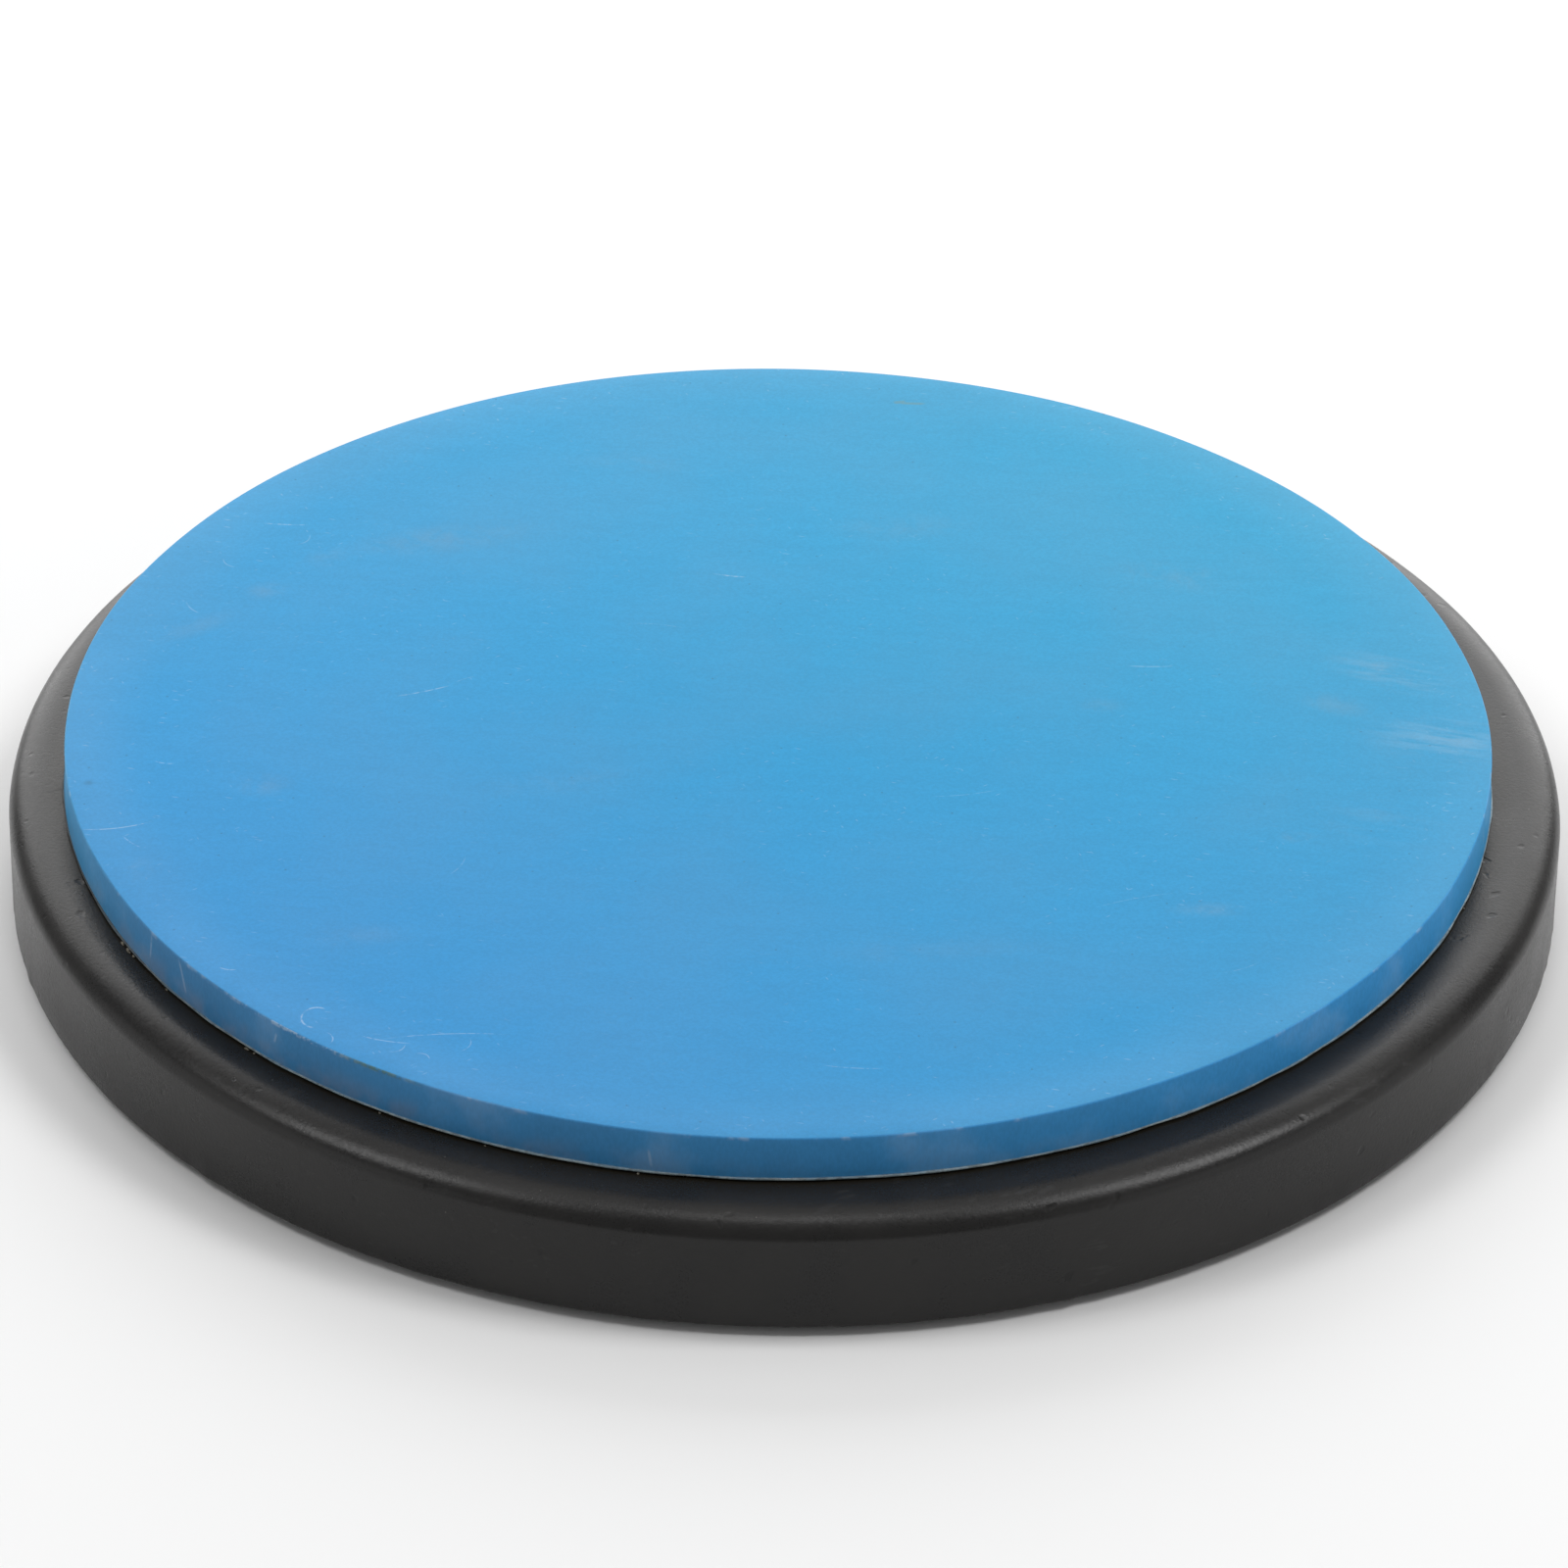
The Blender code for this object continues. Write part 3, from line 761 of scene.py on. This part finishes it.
def make_pad(face, side):
    """The rubber disc, with a rounded arris, and a side that flares towards its foot."""
    arris = 0.3 * MM
    side_top = PAD_TOP - arris
    shares = (0.0, 0.12, 0.25, 0.4, 0.55, 0.7, 0.82, 0.92, 0.97)
    profile = [(PAD_TOP_RADIUS * share, PAD_TOP) for share in shares]
    profile += arc((PAD_TOP_RADIUS - arris, side_top), arris, 90, 0, 5)
    for share in range(1, 9):
        t = share / 8
        flare = (PAD_FOOT_RADIUS - PAD_TOP_RADIUS) * t * t
        profile.append((PAD_TOP_RADIUS + flare, side_top + (PAD_FOOT - side_top) * t))
    profile += [(PAD_FOOT_RADIUS * share, PAD_FOOT) for share in (0.9, 0.5, 0.0)]

    def cut_edge(angle, radius, height):
        """The knife's slight waver round the rim."""
        near_rim = max(0.0, radius / PAD_TOP_RADIUS - 0.9) / 0.1
        return radius + near_rim * (0.10 * MM * wander(angle, 3.0, 7) - 0.05 * MM), height

    mesh = turned("rubber_disc", profile, ROUND_STEPS, shift=cut_edge)
    pad = piece("rubber_disc", mesh, face, PAD_CENTRE)
    mesh.materials.append(side)
    for polygon in mesh.polygons:
        middle = sum((mesh.vertices[index].co.z for index in polygon.vertices), 0.0) / len(polygon.vertices)
        polygon.material_index = 1 if middle < PAD_TOP - 0.03 * MM else 0
    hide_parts("top_pad")
    return pad


def make_film(material):
    """The film's rim shows as a hairline. It's lifted off the ledge there, which leaves a dark gap."""
    middle = centre_of("adhesive_sheet")
    low, high = film_low.z - middle.z, pad_low.z - middle.z - 0.01 * MM
    lift = low + 0.22 * MM
    rim = FILM_RADIUS
    profile = [
        (0.0, high), (rim * 0.5, high), (rim * 0.97, high), (rim - 0.05 * MM, high), (rim, high - 0.06 * MM),
        (rim, lift + 0.04 * MM), (rim - 0.04 * MM, lift), (rim - 1.1 * MM, lift - 0.02 * MM),
        (rim - 1.3 * MM, low), (rim * 0.5, low), (0.0, low),
    ]

    def trimmed(angle, radius, height):
        near_rim = max(0.0, radius / FILM_RADIUS - 0.9) / 0.1
        return radius + near_rim * (0.12 * MM * wander(angle, 11.0, 30) - 0.04 * MM), height

    mesh = turned("bonding_film", profile, ROUND_STEPS, shift=trimmed)
    film = piece("bonding_film", mesh, material, middle)
    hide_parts("adhesive_sheet")
    return film


# Crumbs of glue at the rubber's foot: azimuth in degrees, length, width and height in mm.
CRUMBS = (
    (-151.9, 0.8, 0.4, 0.35), (-150.8, 1.3, 0.45, 0.4), (-149.9, 0.6, 0.3, 0.3), (-144.6, 0.5, 0.3, 0.25),
    (-134.3, 0.8, 0.4, 0.3), (-133.5, 0.4, 0.3, 0.25), (-121.0, 0.4, 0.3, 0.25), (-112.0, 0.3, 0.25, 0.2),
    (-100.0, 0.4, 0.3, 0.25), (-20.0, 0.4, 0.3, 0.25), (64.0, 0.6, 0.4, 0.3),
)


def make_crumbs(material):
    """Crumbs of hardened glue: lumpy balls, squashed and half sunk in the corner."""
    reach = PAD_FOOT_RADIUS + 0.25 * MM
    shape = bmesh.new()
    for index, (azimuth, length, width, height) in enumerate(CRUMBS):
        angle = math.radians(azimuth)
        lump = bmesh.ops.create_icosphere(shape, subdivisions=3, radius=0.5)
        place = (
            Matrix.Translation((
                PAD_CENTRE.x + reach * math.cos(angle),
                PAD_CENTRE.y + reach * math.sin(angle),
                LEDGE_Z + 0.32 * height * MM,
            ))
            @ Matrix.Rotation(angle + math.pi / 2, 4, "Z")
            @ Matrix.Diagonal((length * MM, width * MM, height * MM, 1.0))
        )
        for vert in lump["verts"]:
            wobble = noise.noise(vert.co * 2.4 + Vector((index * 7.0, 0.0, 0.0)))
            wobble += 0.4 * noise.noise(vert.co * 6.0 + Vector((0.0, index * 5.0, 0.0)))
            vert.co = place @ (vert.co * (1.0 + 0.7 * wobble))
    mesh = bpy.data.meshes.new("glue_crumbs")
    shape.to_mesh(mesh)
    shape.free()
    return piece("glue_crumbs", smooth(mesh), material)


def make_plate(material):
    """The closing plate, with softened edges, two shallow moulded grooves and a gate mark."""
    middle = centre_of("bottom_plate")
    radius = radius_of("bottom_plate")
    top, under = plate_high.z - middle.z, plate_low.z - middle.z
    soft = 0.6 * MM
    profile = [(0.0, top), (radius * 0.5, top), (radius - 0.2 * MM, top), (radius, top - 0.2 * MM)]
    profile += arc((radius - soft, under + soft), soft, 0, -90, 6)
    for groove in (0.80, 0.46):
        middle_radius, half, depth = radius * groove, 1.1 * MM, 0.35 * MM
        for share in range(9):
            turn = math.pi * share / 8
            profile.append((middle_radius + half * math.cos(turn), under + depth * math.sin(turn)))
    gate = under + 0.3 * MM
    profile += [(3.2 * MM, under), (3.0 * MM, under + 0.15 * MM), (2.7 * MM, gate), (0.0, gate)]
    mesh = turned("closing_plate", profile, ROUND_STEPS)
    plate = piece("closing_plate", mesh, material, middle)
    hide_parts("bottom_plate")
    cut(plate, pins("screw_hole_blank", SCREW_HOLE_RADIUS, plate_low.z - 1.0 * MM, plate_high.z + 1.0 * MM))
    return plate


def make_feet(material):
    """Moulded rubber bumpers: rounded, counterbored, with two ring grooves in the tread."""
    bore, tread_radius, top_radius = 4.5 * MM, 8.4 * MM, 9.0 * MM
    hole = SCREW_HOLE_RADIUS
    height = foot_high.z - foot_low.z
    depth, bevel, tread_round = 3.2 * MM, 0.3 * MM, 0.9 * MM
    profile = [(hole, height), (top_radius - bevel, height), (top_radius, height - bevel)]
    for share in (0.33, 0.67):
        taper = (tread_radius - top_radius) * share
        profile.append((top_radius + taper, height - bevel - (height - bevel - 1.0 * MM) * share))
    profile += arc((tread_radius - tread_round, tread_round), tread_round, 0, -90, 7)
    for groove in (6.9 * MM, 5.7 * MM):
        for share in range(7):
            turn = math.pi * share / 6
            profile.append((groove + 0.32 * MM * math.cos(turn), 0.28 * MM * math.sin(turn)))
    profile += [(bore + 0.3 * MM, 0.0), (bore + 0.1 * MM, 0.08 * MM), (bore, 0.3 * MM)]
    profile += [(bore, depth - 0.2 * MM), (bore - 0.2 * MM, depth), (hole, depth)]
    mesh = turned("foot_bumper", profile, FOOT_STEPS, ring=True)
    for index, node in enumerate(FOOT_NODES, start=1):
        spot = centre_of(node)
        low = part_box(node)[0]
        foot = piece(f"foot_bumper_{index}", mesh, material, (spot.x, spot.y, low.z))
        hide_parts(node)


def make_screws(material):
    """Pan-head screws: domed head, cross recess with sloping bars, plain shank and point."""
    head_radius, head_height, dome = 3.6 * MM, 2.0 * MM, 1.1 * MM
    shank, point = 1.5 * MM, 2.0 * MM
    top = screw_high.z - screw_low.z
    profile = [
        (0.0, top), (shank, top - point), (shank, head_height + 0.1 * MM), (shank + 0.1 * MM, head_height),
        (head_radius - 0.1 * MM, head_height), (head_radius, head_height - 0.1 * MM), (head_radius, dome),
    ]
    for degrees in (12, 24, 36, 48, 60, 72, 82):
        angle = math.radians(degrees)
        profile.append((head_radius * math.cos(angle), dome - dome * math.sin(angle) ** 0.9))
    profile.append((0.0, 0.0))
    blank = loose("pan_screw_blank", turned("pan_screw", profile, SCREW_STEPS))
    for turn in (0.0, math.pi / 2):
        shape = bmesh.new()
        rows = []
        # The recess tapers upwards: half length, half width and height of three sections, in mm.
        for half_length, half_width, height in ((2.05, 0.46, -0.4), (1.75, 0.36, 0.5), (0.75, 0.26, 1.25)):
            rows.append([shape.verts.new((a * half_length * MM, b * half_width * MM, height * MM))
                         for a, b in ((-1, -1), (1, -1), (1, 1), (-1, 1))])
        shape.faces.new(reversed(rows[0]))
        shape.faces.new(rows[-1])
        for lower, upper in zip(rows, rows[1:]):
            for corner in range(4):
                after = (corner + 1) % 4
                shape.faces.new((lower[corner], lower[after], upper[after], upper[corner]))
        spin = Matrix.Rotation(turn, 3, "Z")
        bmesh.ops.rotate(shape, cent=(0.0, 0.0, 0.0), matrix=spin, verts=shape.verts)
        bar = bpy.data.meshes.new("recess_bar")
        shape.to_mesh(bar)
        shape.free()
        cut(blank, loose("recess_bar", bar))
    mesh = blank.data
    bpy.data.objects.remove(blank)
    for index, node in enumerate(SCREW_NODES, start=1):
        spot = centre_of(node)
        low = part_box(node)[0]
        turn = math.radians(37.0 * index * index)  # no two heads stop at the same turn
        screw = piece(f"pan_screw_{index}", mesh, material, (spot.x, spot.y, low.z), turn)
        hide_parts(node)


make_shell(plastic_black())
make_pad(rubber_face(), rubber_side())
make_film(film_pale())
make_crumbs(glue_crumb())
make_plate(plate_black())
make_feet(foot_black())
make_screws(steel_zinc())
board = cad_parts["core_board"].data
board.materials.clear()
board.materials.append(board_brown())


# ---------------------------------------------------------------- floor, light and camera


def make_floor():
    bpy.ops.mesh.primitive_plane_add(size=6.0, location=(0.0, 0.0, cad_low.z - 0.02 * MM))
    floor = bpy.context.object
    floor.name = "studio_floor"
    g = Graph("studio_floor")
    floor.data.materials.append(g.finish((0.86, 0.86, 0.86), 0.9))
    g.shader.inputs["Specular IOR Level"].default_value = 0.0


def panel(name, azimuth, elevation, distance, width, height, radiance):
    """A softbox that faces the pad. Azimuth 0 is straight behind it, 90 to its right."""
    lamp = bpy.data.lights.new(name, "AREA")
    lamp.shape = "RECTANGLE"
    lamp.size = width
    lamp.size_y = height
    lamp.energy = radiance * math.pi * width * height
    made = bpy.data.objects.new(name, lamp)
    a, e = math.radians(azimuth), math.radians(elevation)
    direction = Vector((math.sin(a) * math.cos(e), math.cos(a) * math.cos(e), math.sin(e)))
    made.location = direction * distance
    made.rotation_euler = direction.to_track_quat("Z", "Y").to_euler()
    bpy.context.scene.collection.objects.link(made)


def make_light():
    panel("back_softbox", 0, 23.5, 2.2, 3.2, 1.96, 2.72)
    panel("top_softbox", 0, 70, 2.2, 2.0, 1.2, 0.6)
    panel("overhead_lamp", 0, 88, 1.8, 0.30, 0.30, 9.0)
    panel("right_softbox", 94, 58, 1.6, 0.5, 0.65, 8.6)
    panel("left_softbox", -94, 58, 1.6, 0.5, 0.65, 5.8)
    panel("right_wall", 105, 16, 2.0, 2.4, 1.1, 0.8)
    panel("left_wall", -105, 16, 2.0, 2.4, 1.1, 0.75)
    world = bpy.data.worlds.new("studio")
    world.use_nodes = True
    shade = world.node_tree.nodes["Background"]
    shade.inputs["Color"].default_value = (1.0, 1.0, 1.0, 1.0)
    shade.inputs["Strength"].default_value = 0.18
    bpy.context.scene.world = world
    bpy.context.scene.view_settings.view_transform = "Standard"


def make_camera():
    """Long lens, looking down at the front. It aims a little above the base's lower edge."""
    elevation, roll = math.radians(33.61), math.radians(0.779)
    distance, rise = 1.2881, 13.3 * MM
    data = bpy.data.cameras.new("camera")
    data.lens = 181.66
    data.sensor_width = 36.0
    camera = bpy.data.objects.new("camera", data)
    stand = Vector((0.0, 0.0, SHELL_EDGE_Z))
    back = Vector((0.0, -math.cos(elevation), math.sin(elevation)))
    right = Vector((1.0, 0.0, 0.0))
    up = back.cross(right)
    level = Matrix.Rotation(roll, 3, back)
    spot = stand + back * distance
    target = stand + (level @ up) * rise
    back = (spot - target).normalized()
    right = (level @ right)
    up = back.cross(right).normalized()
    right = up.cross(back)
    camera.matrix_world = Matrix((
        (right.x, up.x, back.x, spot.x),
        (right.y, up.y, back.y, spot.y),
        (right.z, up.z, back.z, spot.z),
        (0.0, 0.0, 0.0, 1.0),
    ))
    bpy.context.scene.collection.objects.link(camera)
    bpy.context.scene.camera = camera


make_floor()
make_light()
make_camera()

bpy.context.view_layer.update()
